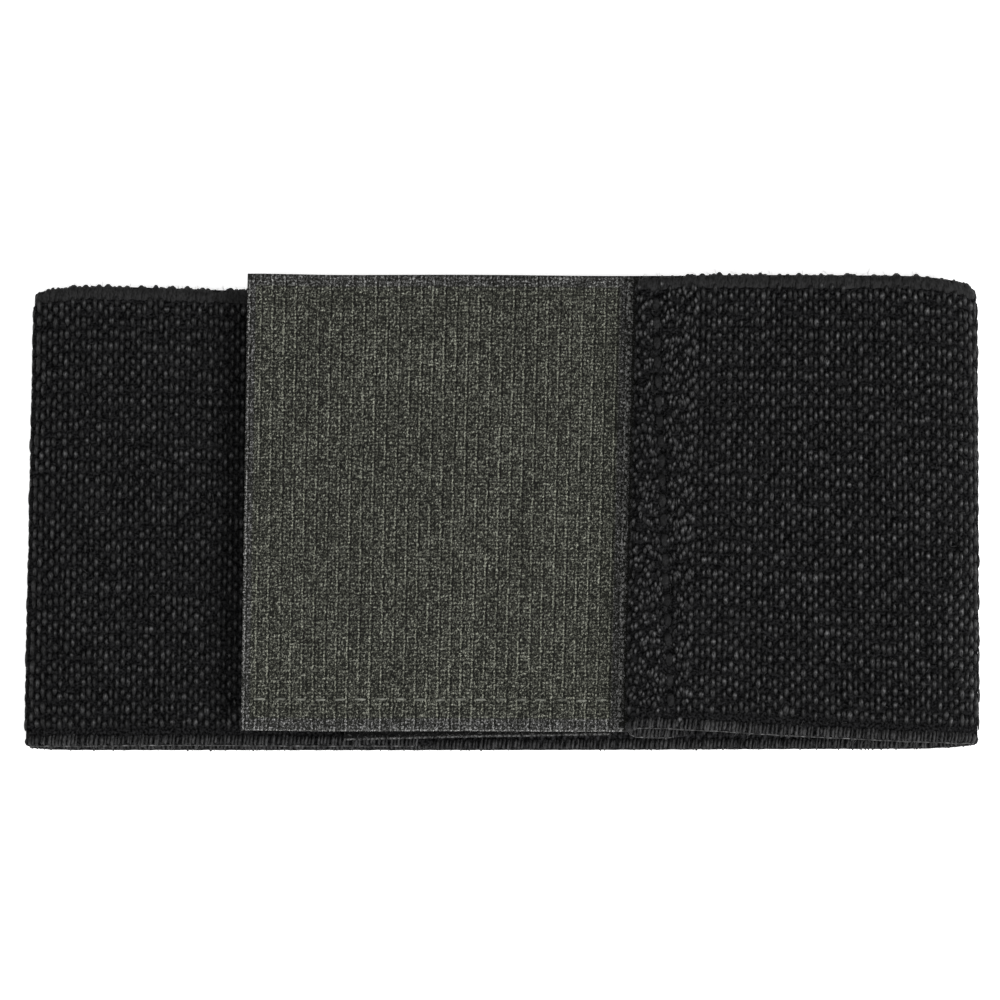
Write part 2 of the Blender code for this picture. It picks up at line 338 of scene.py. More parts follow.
def points_of(data):
    """A mesh's points as rows of x, y and z."""
    points = np.empty(len(data.vertices) * 3, np.float32)
    data.vertices.foreach_get("co", points)
    return points.reshape(-1, 3).astype(float)


def lay(data, flat, way):
    """Lays a mesh's flat points in one way, and keeps the flat places for its pattern."""
    attribute = data.attributes.new("cloth", "FLOAT_VECTOR", "POINT")
    attribute.data.foreach_set("vector", flat.astype(np.float32).ravel())
    data.vertices.foreach_set("co", way(flat).astype(np.float32).ravel())
    data.update()


def add_piece(name, data, material, smooth_angle):
    """Adds a mesh as a piece of the garter."""
    data.materials.clear()
    data.materials.append(material)
    data.shade_smooth()
    data.set_sharp_from_angle(angle=math.radians(smooth_angle))
    piece = bpy.data.objects.new(name, data)
    bpy.context.scene.collection.objects.link(piece)
    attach(piece, "root")
    return piece


class Tone:
    """A value in a material. Arithmetic on it adds Math nodes."""

    def __init__(self, finish, socket):
        self.finish = finish
        self.socket = socket

    def maths(self, operation, *values):
        return self.finish.add("ShaderNodeMath", {"operation": operation}, dict(enumerate(values)))

    def __add__(self, other):
        return self.maths("ADD", self, other)

    def __radd__(self, other):
        return self.maths("ADD", other, self)

    def __sub__(self, other):
        return self.maths("SUBTRACT", self, other)

    def __rsub__(self, other):
        return self.maths("SUBTRACT", other, self)

    def __mul__(self, other):
        return self.maths("MULTIPLY", self, other)

    def __rmul__(self, other):
        return self.maths("MULTIPLY", other, self)

    def __truediv__(self, other):
        return self.maths("DIVIDE", self, other)

    def __pow__(self, other):
        return self.maths("POWER", self, other)

    def __abs__(self):
        return self.maths("ABSOLUTE", self)

    def wave(self):
        """Round lumps from 0 to 1, one to each whole step."""
        return abs(self.maths("SINE", self * math.pi))

    def whole(self):
        """Its last whole step."""
        return self.maths("FLOOR", self)

    def over(self, step):
        """What is left of it after whole steps of a size."""
        return self.maths("FLOORED_MODULO", self, step)

    def between(self, low, high):
        """A smooth step from 0 at low to 1 at high."""
        limits = {"Value": self, "From Min": low, "From Max": high}
        return self.finish.add("ShaderNodeMapRange", {"interpolation_type": "SMOOTHSTEP"}, limits)


class Finish:
    """A material of the garter, built round one Principled shader."""

    def __init__(self, name, roughness, specular):
        self.material = bpy.data.materials.new(name)
        self.material.use_nodes = True
        self.tree = self.material.node_tree
        self.shader = self.tree.nodes["Principled BSDF"]
        self.shader.inputs["Roughness"].default_value = roughness
        self.shader.inputs["Specular IOR Level"].default_value = specular

    def add(self, kind, settings, inputs, output=0):
        """Adds a node, sets it, fills its sockets and gives one of its outputs."""
        node = self.tree.nodes.new(kind)
        for name, value in settings.items():
            setattr(node, name, value)
        for name, value in inputs.items():
            if isinstance(value, Tone):
                self.tree.links.new(value.socket, node.inputs[name])
            else:
                node.inputs[name].default_value = value
        return Tone(self, node.outputs[output])

    def cloth_place(self):
        """The along, across and out of the flat cloth, in metres."""
        place = self.add("ShaderNodeAttribute", {"attribute_name": "cloth"}, {}, "Vector")
        parts = self.add("ShaderNodeSeparateXYZ", {}, {"Vector": place}).socket.node
        return [Tone(self, output) for output in parts.outputs]

    def number_on(self, name):
        """A number that the piece's points carry."""
        return self.add("ShaderNodeAttribute", {"attribute_name": name}, {}, "Fac")

    def speckle(self, place, scale, detail=2.0):
        """Noise from about 0 to 1 at a place."""
        vector = self.add("ShaderNodeCombineXYZ", {}, dict(enumerate(place)))
        inputs = {"Vector": vector, "Scale": scale, "Detail": detail}
        return self.add("ShaderNodeTexNoise", {}, inputs)

    def mixed(self, share, low, high):
        """A colour from low to high."""
        ends = [end if isinstance(end, Tone) else (*end, 1.0) for end in (low, high)]
        inputs = {0: share, 6: ends[0], 7: ends[1]}
        return self.add("ShaderNodeMix", {"data_type": "RGBA"}, inputs, 2)

    def wear(self, colour=None, roughness=None, height=None, distance=0.0):
        """Joins what changes over the surface to the shader."""
        if colour is not None:
            self.tree.links.new(colour.socket, self.shader.inputs["Base Color"])
        if roughness is not None:
            self.tree.links.new(roughness.socket, self.shader.inputs["Roughness"])
        if height is not None:
            bump = self.add("ShaderNodeBump", {}, {"Height": height, "Distance": distance})
            self.tree.links.new(bump.socket, self.shader.inputs["Normal"])


PICK_PITCH = 0.000709
PICK_SHIFT = 0.38  # how far every other pick sits across the band, as a share of a rib
GROUND_DARK = (0.0012, 0.0012, 0.0013)
GROUND_LIGHT = (0.026, 0.026, 0.027)

ground = Finish("black_elastic_ground", 0.95, 0.01)
ground_along, ground_across, ground_out = ground.cloth_place()
pick_place = ground_along / PICK_PITCH
rib_place = (ground_across - RIBS_MIDDLE) / RIB_PITCH
binders = (pick_place + 0.5).wave() * (rib_place * 2.0).wave()
ground_noise = ground.speckle((ground_along, ground_across, ground_out), 3200.0)
inner_side = ground_out.between(0.0001, -0.0001)
inner_row = rib_place + pick_place.whole().over(2.0) * PICK_SHIFT + 0.5
inner_grain = inner_row.wave() ** 2.0 * pick_place.wave()
ground_tone = ground_noise.between(0.3, 0.8) * (0.5 + binders * 0.3)
ground_tone = ground_tone + inner_side * inner_grain * ground_noise * 1.2
ground.wear(
    colour=ground.mixed(ground_tone, GROUND_DARK, GROUND_LIGHT),
    height=binders * 0.6 + ground_noise + inner_side * inner_grain * 2.0,
    distance=0.0002,
)

SECTION_STEP = 0.0017
FOLD_TURN = math.radians(9)
HEM_STEP = 0.00042
FACE_CUTS = 6  # points to a rib on the outer face
INNER_CUTS = 3
FACE_SHORT = 0.0003  # how far inside the band's edges its two faces end
EDGE_SHORT = 0.0001  # and the cloth itself
EDGE_REACH = 0.0008  # how far in from an edge the cloth is rounded
EDGE_FULL = 0.9
ground_top = BAND_THICK / 2 - PICK_PROUD - RIB_DEPTH
# The hem has closer cross-sections, because its stitches pull the cloth in.
hem_zone = (line_at > 1.4) & (line_at < 3.0)
pace = np.diff(line_length) * np.where(hem_zone, 1 / HEM_STEP, 1 / SECTION_STEP)[1:]
pace = pace + np.abs(np.diff(line_heading)) / FOLD_TURN
pace = np.concatenate([[0.0], np.cumsum(pace)])
section_places = np.interp(np.arange(math.ceil(pace[-1]) + 1), pace, line_length)


def ribbed_side(cuts):
    """Places across one side of the band, as many to a rib as there are cuts."""
    ribs = RIBS_MIDDLE + np.linspace(-ribbed_half, ribbed_half, RIBS * cuts + 1)
    near = np.linspace(-BAND_WIDTH / 2 + FACE_SHORT, ribs[0], cuts + 1)[:-1]
    far = np.linspace(ribs[-1], BAND_WIDTH / 2 - FACE_SHORT, cuts + 1)[1:]
    return np.concatenate([near, ribs, far])


def edge_round(across):
    """How much of its half thickness the ground has left near its two woven edges."""
    left = np.clip((BAND_WIDTH / 2 - np.abs(across)) / EDGE_REACH, 0, 1)
    return np.sqrt(1 - (1 - left) ** 2) * EDGE_FULL


face_across = ribbed_side(FACE_CUTS)
inner_across = ribbed_side(INNER_CUTS)
face_out = (ground_top + RIB_DEPTH * rib_shape(face_across)) * edge_round(face_across)
inner_out = -(ground_top + RIB_DEPTH * rib_shape(inner_across)) * edge_round(inner_across)
band_outline = list(zip(face_across, face_out, strict=True))
band_outline.append((BAND_WIDTH / 2 - EDGE_SHORT, 0.0))
band_outline += list(zip(inner_across[::-1], inner_out[::-1], strict=True))
band_outline.append((-BAND_WIDTH / 2 + EDGE_SHORT, 0.0))
band_data = mesh_of("elastic_cloth", strip_of(band_outline, section_places))
band_flat = points_of(band_data)
outer_side = band_flat[:, 2] > 0
band_flat[:, 2] -= outer_side * hem_dent(band_flat[:, 0], band_flat[:, 1])
band_flat[:, 2] += outer_side * FOLD_STAND * tightness(band_flat[:, 0])
lay(band_data, band_flat, on_elastic)
elastic_cloth = add_piece("elastic_cloth", band_data, ground.material, 60)
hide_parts("elastic_band")

# The band's weft
# Each black polyester pick goes over every rib and down between them, and every other pick sits
# about two fifths of a rib to one side. Only the tops of the picks show, as rows of small grains
# that lie across the band.
PICK_WIDTH = 0.00065
PICK_TALL = 0.00143
PICK_HEIGHT = 0.00050
GRAIN_SIDES = 8
PICK_UNEVEN = 0.15  # how much the picks differ in size
PICK_TURN = 0.06  # radians that they lie askew
PICK_STRAY = (0.055, 0.05)  # how far out of place they are, in pitches along and ribs across
PICK_RISE = (0.00002, 0.00004)  # how far they stand up, and by how much that differs
LOOSE_STRAY = 2.6  # how much more the picks of every other column stray
LOOSE_SHADE = 0.45
DOUBLED_STRAY = 1.4  # and those of the hem, where the cloth is sewn double
DOUBLED_FADE = 0.0015
PICK_DARK = (0.0030, 0.0030, 0.0031)
PICK_LIGHT = (0.144, 0.144, 0.146)

pick_finish = Finish("black_elastic_weft", 0.6, 0.10)
pick_along, pick_across, pick_out = pick_finish.cloth_place()
painted_highlight = pick_finish.number_on("painted_highlight")
shade = pick_finish.number_on("shade")
filaments = pick_finish.speckle((pick_along * 3.5, pick_across * 1.6, pick_out), 1400.0, 3.0)
patches = pick_finish.speckle((pick_along, pick_across, pick_out), 300.0)
# Each pick is painted lighter along its top than on its flanks, a painted highlight.
pick_tone = (0.09 + painted_highlight) * (0.25 + shade * 0.6) * filaments.between(0.25, 0.70) * (0.5 + patches)
pick_finish.wear(
    colour=pick_finish.mixed(pick_tone, PICK_DARK, PICK_LIGHT),
    roughness=0.5 + filaments * 0.3,
    height=filaments,
    distance=0.00016,
)


def grain(rings, size):
    """The upper half of a sphere, closed below and stretched to a size."""
    mesh = bmesh.new()
    bmesh.ops.create_uvsphere(mesh, u_segments=GRAIN_SIDES, v_segments=rings, radius=1.0)
    bmesh.ops.bisect_plane(
        mesh,
        geom=mesh.verts[:] + mesh.edges[:] + mesh.faces[:],
        dist=1e-5,
        plane_co=(0, 0, 0),
        plane_no=(0, 0, -1),
        clear_outer=True,
    )
    bmesh.ops.holes_fill(mesh, edges=mesh.edges, sides=0)
    bmesh.ops.scale(mesh, verts=mesh.verts, vec=(size[0] / 2, size[1] / 2, size[2]))
    return mesh


def copies_of(name, mesh, count):
    """A mesh of many copies of a small one, and the copies' points as one block each."""
    one = mesh_of(name, mesh)
    row = bpy.data.objects.new(name, one)
    bpy.context.scene.collection.objects.link(row)
    array = row.modifiers.new("copies", "ARRAY")
    array.count = count
    array.use_relative_offset = False
    array.use_constant_offset = True
    array.constant_offset_displace = (0, 0, 0)
    bpy.context.view_layer.update()
    view = bpy.context.evaluated_depsgraph_get()
    many = bpy.data.meshes.new_from_object(row.evaluated_get(view))
    bpy.data.objects.remove(row)
    bpy.data.meshes.remove(one)
    many.name = name
    return many, points_of(many).reshape(count, -1, 3)


def keep_number(data, name, numbers):
    """Stores a number on each of a mesh's points, for its material."""
    attribute = data.attributes.new(name, "FLOAT", "POINT")
    attribute.data.foreach_set("value", np.asarray(numbers, np.float32).ravel())


def keep_shades(data, shades):
    """Stores one shade for each copy in a mesh, on all of the copy's points."""
    keep_number(data, "shade", np.repeat(shades, len(data.vertices) // len(shades)))


def crossings(columns, rows):
    """Where columns and rows cross: how far along each crossing is, and how far across."""
    return np.repeat(columns, len(rows)), np.tile(rows, len(columns))


def flat_places(along, across, out):
    """Places on the flat cloth as rows. A single number stands for all of them."""
    return np.stack(np.broadcast_arrays(along, across, out), axis=1)


def set_at(blocks, place):
    """The points of all copies, with each copy moved to its place."""
    return (blocks + place[:, None, :]).reshape(-1, 3)


def turned(blocks, angles):
    """Copies turned about their own upright axes."""
    cos, sin = np.cos(angles)[:, None], np.sin(angles)[:, None]
    x = blocks[:, :, 0] * cos - blocks[:, :, 1] * sin
    y = blocks[:, :, 0] * sin + blocks[:, :, 1] * cos
    return np.stack([x, y, blocks[:, :, 2]], axis=2)


def add_picks(name, columns, rings, seed, highlight_strength):
    """The weft of the band's outer face at these columns, as one piece."""
    chance = np.random.default_rng(seed)
    column, rib = crossings(columns, rib_places)
    count = len(column)
    data, blocks = copies_of(name, grain(rings, (PICK_WIDTH, PICK_TALL, PICK_HEIGHT)), count)
    beside = np.abs(blocks[:, :, 0]) / (PICK_WIDTH / 2)
    lengthwise = np.abs(blocks[:, :, 1]) / (PICK_TALL / 2)
    along = column * PICK_PITCH
    # At a tight fold the picks are drawn long and flat, and their painted highlight spreads over more of
    # their length.
    bend = np.interp(along, line_length, line_bend)
    tight = tightness(along)
    pick_highlights = np.clip(1 - lengthwise ** 2, 0, 1) ** (9 - 7 * tight[:, None])
    pick_highlights *= np.clip(1 - beside ** 2, 0, 1)
    doubled = ramp((along_at(3.0) - along) / DOUBLED_FADE)
    stray = 1 + DOUBLED_STRAY * doubled
    blocks = turned(blocks, chance.normal(0, PICK_TURN, count) * stray)
    blocks *= chance.normal(1.0, PICK_UNEVEN, (count, 1, 3)).clip(0.6, 1.35)
    # A fold spreads its outer face, so the picks are made narrower there first.
    blocks[:, :, 0] *= ((1 - 0.15 * doubled) / (1 + bend * ground_top * 1.5))[:, None]
    blocks[:, :, 1] *= (1 + 0.5 * tight - 0.15 * doubled)[:, None]
    blocks[:, :, 2] *= (1 - 0.5 * tight)[:, None]
    # Every other column sits to one side, and is looser and darker.
    loose = column % 2 != 0
    shift = ((column % 2) - 0.5) * PICK_SHIFT * RIB_PITCH
    place = flat_places(along, rib + shift, ground_top + FOLD_STAND * tight)
    place[:, 0] += chance.normal(0, PICK_STRAY[0], count) * PICK_PITCH * stray
    place[:, 1] += chance.normal(0, PICK_STRAY[1], count) * RIB_PITCH * stray * (1 + LOOSE_STRAY * loose)
    place[:, 2] += chance.normal(*PICK_RISE, count)
    # The hem's stitches pull in the picks beside them, which are smaller there and lose their painted
    # highlight, a painted shade in the stitch holes.
    pulled_in = np.clip(hem_dent(place[:, 0], place[:, 1]) / PIT_DEPTH * 2.5 - 0.5, 0, 1)
    blocks *= (1 - 0.8 * pulled_in)[:, None, None]
    flat = set_at(blocks, place)
    flat[:, 2] -= hem_dent(flat[:, 0], flat[:, 1])
    lay(data, flat, on_elastic)
    keep_number(data, "painted_highlight", pick_highlights * (highlight_strength * (1 - pulled_in))[:, None])
    keep_shades(data, chance.random(count) * np.where(loose, LOOSE_SHADE, 1.0))
    return add_piece(name, data, pick_finish.material, 70)


first_column = math.ceil(along_at(1.05) / PICK_PITCH)
right_nose_column = round(along_at(4.5) / PICK_PITCH)
left_nose_column = round(along_at(6.4) / PICK_PITCH)
last_column = math.floor(along_at(8.0) / PICK_PITCH)
front_columns = np.arange(first_column, right_nose_column)
back_columns = np.arange(right_nose_column, left_nose_column)
strip_columns = np.arange(left_nose_column, last_column)
hem_columns = np.arange(first_column, along_at(2.9) / PICK_PITCH) + 0.5
add_picks("front_weft", front_columns, 6, 3, 1.0)
# The strip beside the tab gets a weaker painted highlight, a painted shade beside the tab.
add_picks("strip_weft", strip_columns, 6, 4, 0.7)
add_picks("back_weft", back_columns, 4, 5, 1.0)
# The cloth is bunched up where it is sewn double, so more picks crowd in between, and their painted
# highlight is stronger.
add_picks("hem_weft", hem_columns, 4, 15, 1.6)

# The band's selvedges
# Along both edges the weft turns back round the outermost warps, so each edge is a round roll of
# close, slanted threads.
ROLL_RADII = (0.00025, 0.00076, 0.00062)
ROLL_PITCH = 0.00049
ROLL_SLANT = 0.25
FAR_ROLL_SHAPE = (2.6, 1.45, 0.85)  # the far edge is the wider and smoother one
ROLL_UNEVEN = 0.14
ROLL_STRAY = (0.00009, 0.00004, 0.00004)
roll_columns = np.arange(3, math.floor(band_length / ROLL_PITCH) - 2)
roll_count = 2 * len(roll_columns)


def bead(sides, rings, axis, radii):
    """A sphere, tipped over about an axis so that its poles lie flat, and stretched."""
    mesh = bmesh.new()
    bmesh.ops.create_uvsphere(mesh, u_segments=sides, v_segments=rings, radius=1.0)
    bmesh.ops.rotate(mesh, verts=mesh.verts, matrix=Matrix.Rotation(math.pi / 2, 3, axis))
    bmesh.ops.scale(mesh, verts=mesh.verts, vec=radii)
    return mesh


chance = np.random.default_rng(6)
roll_data, rolls = copies_of("selvedge_threads", bead(8, 7, "Y", ROLL_RADII), roll_count)
roll_highlights = 1 - (np.abs(rolls[:, :, 0]) / ROLL_RADII[0]) ** 2
roll_side = np.repeat([1.0, -1.0], len(roll_columns))
rolls *= chance.normal(1.0, ROLL_UNEVEN, (roll_count, 1, 3)).clip(0.7, 1.3)
far_side = (roll_side > 0)[:, None]
roll_shape = np.where(far_side, FAR_ROLL_SHAPE, 1.0)
rolls *= roll_shape[:, None, :]
# The threads wind round the edge, so they slant one way on the outer face and the other way inside.
rolls[:, :, 0] += ROLL_SLANT * rolls[:, :, 1] * rolls[:, :, 2] / ROLL_RADII[2]
roll_across = roll_side * (BAND_WIDTH / 2 - ROLL_RADII[1] * roll_shape[:, 1])
roll_place = flat_places(np.tile(roll_columns, 2) * ROLL_PITCH, roll_across, 0.0)
roll_place += chance.normal(0, 1, roll_place.shape) * ROLL_STRAY
lay(roll_data, set_at(rolls, roll_place), on_elastic)
# The near edge's threads are painted lighter along their ridges, a painted highlight; the far edge, which
# faces away from the light, is painted one even, dim tone, a painted shade.
keep_number(roll_data, "painted_highlight", np.where(far_side, 0.12, 0.10 + 0.22 * roll_highlights))
keep_shades(roll_data, np.where(far_side, 0.35, 0.2 + 0.7 * chance.random((roll_count, 1))))
add_piece("selvedge_threads", roll_data, pick_finish.material, 80)

# A lighter thread is drawn along the near edge, and shows as a thin light line.
EDGE_THREAD_RADIUS = 0.00009
EDGE_THREAD_STEP = 0.0009
EDGE_THREAD_SHORT = 0.002
EDGE_THREAD_SWAY = 0.00012
EDGE_THREAD_WAVE = 0.0031
EDGE_THREAD_DARK = (0.01, 0.01, 0.01)
EDGE_THREAD_LIGHT = (0.13, 0.13, 0.13)
edge_turns = np.linspace(0, 2 * math.pi, 5)[:-1]
edge_circle = [(math.cos(t) * EDGE_THREAD_RADIUS, math.sin(t) * EDGE_THREAD_RADIUS) for t in edge_turns]
edge_places = np.arange(EDGE_THREAD_SHORT, band_length - EDGE_THREAD_SHORT, EDGE_THREAD_STEP)
edge_data = mesh_of("edge_thread", strip_of(edge_circle, edge_places))
edge_flat = points_of(edge_data)
edge_flat[:, 1] -= BAND_WIDTH / 2 - EDGE_THREAD_RADIUS / 2
edge_flat[:, 2] += EDGE_THREAD_SWAY * np.sin(edge_flat[:, 0] * 2 * math.pi / EDGE_THREAD_WAVE)
lay(edge_data, edge_flat, on_elastic)
edge_finish = Finish("edge_thread_black", 0.6, 0.15)
edge_noise = edge_finish.speckle(edge_finish.cloth_place(), 1100.0).between(0.4, 0.75)
edge_finish.wear(colour=edge_finish.mixed(edge_noise, EDGE_THREAD_DARK, EDGE_THREAD_LIGHT))
add_piece("edge_thread", edge_data, edge_finish.material, 80)

# The hem's stitches
# A row of black thread goes through the hem, the tab's end and the turned end. Each stitch bites
# into the elastic at both ends.
THREAD_BLACK = (0.004, 0.004, 0.0041)
THREAD_BLACK_LIGHT = (0.021, 0.021, 0.0215)
HEM_THREAD_RADIUS = 0.00024
HEM_THREAD_FLAT = 2.1  # how much wider than thick the pressed thread is
HEM_THREAD_OUT = 0.00042
HEM_STITCH_TURN = 0.03
HEM_STITCH_STRAY = (0.00006, 0.00003, 0.00003)


def thread_finish(name, dark, light, distance):
    """A sewing thread. Each stitch has its own shade, and its fibres make fine uneven lines."""
    finish = Finish(name, 0.7, 0.05)
    along, across, out = finish.cloth_place()
    fibres = finish.speckle((along, across, out), 2200.0, 3.0).between(0.25, 0.75)
    finish.wear(
        colour=finish.mixed(finish.number_on("shade") * (0.3 + fibres * 0.7), dark, light),
        height=fibres,
        distance=distance,
    )
    return finish.material


def stitch_row(name, count, radius, length):
    """Stitches that lie along Y, tapered where they go into the cloth."""
    data, stitches = copies_of(name, bead(10, 8, "X", (radius, length / 2, radius)), count)
    # The ends dip into their holes.
    stitches[:, :, 2] -= 2.0 * radius * (stitches[:, :, 1] / (length / 2)) ** 4
    return data, stitches


chance = np.random.default_rng(7)
hem_data, hem_stitches = stitch_row(
    "hem_stitches", HEM_STITCHES, HEM_THREAD_RADIUS, STITCH_PITCH * 0.70
)
hem_stitches[:, :, 0] *= HEM_THREAD_FLAT
hem_middles = (hem_holes_across[1:] + hem_holes_across[:-1]) / 2
hem_place = flat_places(hem_row(hem_middles), hem_middles, HEM_THREAD_OUT)
hem_place += chance.normal(0, 1, hem_place.shape) * HEM_STITCH_STRAY
hem_lean = math.atan2(HEM_STITCH_LEAN, BAND_WIDTH / 2)
hem_stitches = turned(hem_stitches, hem_lean + chance.normal(0, HEM_STITCH_TURN, HEM_STITCHES))
lay(hem_data, set_at(hem_stitches, hem_place), on_elastic)
keep_shades(hem_data, chance.uniform(0.4, 1.0, HEM_STITCHES))
black_thread = thread_finish("black_thread", THREAD_BLACK, THREAD_BLACK_LIGHT, 0.00012)
add_piece("hem_stitches", hem_data, black_thread, 80)

# The band's stray fibres
# Fine ends of polyester that stand out of the elastic here and there, most of all along its edges
# and folds.
FIBRE_RADIUS = 0.000020
FIBRE_LENGTH = 0.0009
FIBRE_BEND = 1.6
FIBRES = 2200
FIBRE_DARK = (0.006, 0.006, 0.006)
FIBRE_LIGHT = (0.06, 0.06, 0.06)
FIBRES_AT_EDGES = 0.6  # the share of them along the two edges
FIBRE_FROM_EDGE = 0.0002
FIBRE_EDGE_OUT = 0.0005
FIBRE_REACH = 0.029
FIBRE_SUNK = 0.0001


def bent_wire(radius, bend, angle, steps):
    """A thin three-sided wire, bent to an arc about a point on X."""
    mesh = bmesh.new()
    bmesh.ops.create_circle(mesh, segments=3, radius=radius, cap_ends=True)
    bmesh.ops.spin(
        mesh,
        geom=mesh.faces[:],
        cent=(bend, 0, 0),
        axis=(0, 1, 0),
        angle=angle,
        steps=steps,
    )
    bmesh.ops.recalc_face_normals(mesh, faces=mesh.faces)
    return mesh


one_fibre = bent_wire(FIBRE_RADIUS, FIBRE_LENGTH / FIBRE_BEND, FIBRE_BEND, 3)
fibre_data, fibres = copies_of("stray_fibres", one_fibre, FIBRES)
chance = np.random.default_rng(8)
fibres *= chance.uniform(0.4, 1.3, (FIBRES, 1, 1))
fibre_tip = chance.uniform(0.9, 1.5, FIBRES)
tip_cos, tip_sin = np.cos(fibre_tip)[:, None], np.sin(fibre_tip)[:, None]
fibre_x = fibres[:, :, 0] * tip_cos + fibres[:, :, 2] * tip_sin
fibre_z = -fibres[:, :, 0] * tip_sin + fibres[:, :, 2] * tip_cos
fibres = turned(np.stack([fibre_x, fibres[:, :, 1], fibre_z], axis=2), chance.uniform(0, 6.3, FIBRES))
fibre_along = chance.uniform(along_at(1.3), along_at(8.0), FIBRES)
at_edge = chance.random(FIBRES) < FIBRES_AT_EDGES
edge_side = np.where(chance.random(FIBRES) < 0.5, -1, 1) * (BAND_WIDTH / 2 - FIBRE_FROM_EDGE)
fibre_across = np.where(at_edge, edge_side, chance.uniform(-FIBRE_REACH, FIBRE_REACH, FIBRES))
fibre_edge_out = chance.uniform(-FIBRE_EDGE_OUT, FIBRE_EDGE_OUT, FIBRES)
fibre_out = np.where(at_edge, fibre_edge_out, BAND_THICK / 2 - FIBRE_SUNK)
lay(fibre_data, set_at(fibres, flat_places(fibre_along, fibre_across, fibre_out)), on_elastic)
fibre_finish = Finish("black_fibre", 0.7, 0.1)
fibre_noise = fibre_finish.speckle(fibre_finish.cloth_place(), 900.0)
fibre_finish.wear(colour=fibre_finish.mixed(fibre_noise, FIBRE_DARK, FIBRE_LIGHT))
add_piece("stray_fibres", fibre_data, fibre_finish.material, 80)

# The loop tape
# A strip of brushed nylon loop pile, sewn on the band's end under the tab. The tab's hooks hold it.
# Only its lower edge shows, as a thin grey line.
LOOP_WIDTH = 0.0584
LOOP_SHORT = 0.0025
LOOP_DRIFT = (-0.10, 0.75)
LOOP_BASE_THICK = 0.00035
TAPE_ROUND = 0.00015
TAPE_STEP = 0.0010
loop_right = hem_left - LOOP_SHORT


def on_tape(flat, left, right, middle, drifts, slants):
    """Lays flat points of a tape of even width, whose middle height is a function of x."""
    along, across, out = flat.T
    x = left + along
    share = along / (right - left)
    reach = 0.00005
    heading = np.arctan2(middle(x + reach) - middle(x - reach), 2 * reach)
    slant = HEM_SLANT * (slants[0] + (slants[1] - slants[0]) * share) * across / (BAND_WIDTH / 2)
    y = SKEW * (drifts[0] + (drifts[1] - drifts[0]) * share) + across
    z = middle(x) + np.cos(heading) * out
    return np.stack([x - np.sin(heading) * out + slant, y, z], axis=1) + to_frame


def tape_outline(width, thick, cuts):
    """The outline of a tape's cross-section, cut finely above and whole below."""
    shoulder = width / 2 - TAPE_ROUND
    face = [(across, thick / 2) for across in np.linspace(-shoulder, shoulder, cuts + 1)]
    return face + [(width / 2, 0.0), (shoulder, -thick / 2), (-shoulder, -thick / 2), (-width / 2, 0.0)]


def loop_middle(x):
    """The middle height of the loop tape and its pile."""
    return hook_height(x) - LAYER_GAP - LOOP_THICK / 2


def on_loop_tape(flat):
    """Lays flat points of the loop tape."""
    return on_tape(flat, loop_left, loop_right, loop_middle, LOOP_DRIFT, (0.0, 0.0))


LOOP_GREY_DARK = (0.004, 0.004, 0.004)
LOOP_GREY = (0.13, 0.13, 0.128)
LOOP_EDGE = 0.00028  # how far the tape's grey reaches in from its edges; the rest of its face is painted far darker, a painted shade under the tab
base_finish = Finish("grey_loop_ground", 0.9, 0.03)
base_along, base_across, base_out = base_finish.cloth_place()
base_noise = base_finish.speckle((base_along, base_across, base_out), 2500.0)
# The tape's face is painted far darker than its edges, a painted shade under the tab.
base_edge = abs(base_across).between(LOOP_WIDTH / 2 - LOOP_EDGE, LOOP_WIDTH / 2 - LOOP_EDGE / 2)
base_weave = (base_along / 0.0006 + base_noise * 3.0).wave() * base_noise.between(0.25, 0.75)
base_finish.wear(
    colour=base_finish.mixed(base_weave * (0.06 + base_edge * 0.9), LOOP_GREY_DARK, LOOP_GREY),
    height=base_weave,
    distance=0.0001,
)
loop_places = np.linspace(0, loop_right - loop_left, round((loop_right - loop_left) / TAPE_STEP) + 1)
loop_tape_data = mesh_of(
    "loop_tape_cloth", strip_of(tape_outline(LOOP_WIDTH, LOOP_BASE_THICK, 50), loop_places)
)
loop_tape_flat = points_of(loop_tape_data)
loop_tape_flat[:, 2] -= (LOOP_THICK - LOOP_BASE_THICK) / 2
lay(loop_tape_data, loop_tape_flat, on_loop_tape)
loop_tape = add_piece("loop_tape_cloth", loop_tape_data, base_finish.material, 50)
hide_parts("loop_tape")

# The loop tape's pile
# Small rings of dark nylon that stand on the tape in close rows, brushed this way and that.
PILE_RING = 0.00026
PILE_WIRE = 0.00007
PILE_STEP = 0.00074
PILE_DARK = (0.002, 0.002, 0.002)
PILE_LIGHT = (0.050, 0.050, 0.049)
PILE_STRAY = (0.00014, 0.00010, 0.00002)


def even_places(length, width, step):
    """Places one step apart over a tape: how far along each is, and how far across."""
    return crossings(np.arange(step / 2, length, step), np.arange(-width / 2 + step / 2, width / 2, step))


pile_along, pile_across = even_places(loop_right - loop_left, LOOP_WIDTH, PILE_STEP)
pile_count = len(pile_along)
pile_mesh = bmesh.new()
bmesh.ops.create_circle(pile_mesh, segments=3, radius=PILE_WIRE)
bmesh.ops.translate(pile_mesh, verts=pile_mesh.verts, vec=(PILE_RING, 0, 0))
bmesh.ops.spin(
    pile_mesh,
    geom=pile_mesh.verts[:] + pile_mesh.edges[:],
    cent=(0, 0, 0),
    axis=(0, 1, 0),
    angle=2 * math.pi,
    steps=5,
    use_merge=True,
)
bmesh.ops.recalc_face_normals(pile_mesh, faces=pile_mesh.faces)
pile_data, pile = copies_of("loop_pile", pile_mesh, pile_count)
chance = np.random.default_rng(9)
pile = turned(pile, chance.uniform(0, math.pi, pile_count))
pile *= chance.normal(1.0, 0.15, (pile_count, 1, 1)).clip(0.7, 1.3)
pile_place = flat_places(pile_along, pile_across, LOOP_THICK / 2 - PILE_RING - PILE_WIRE)
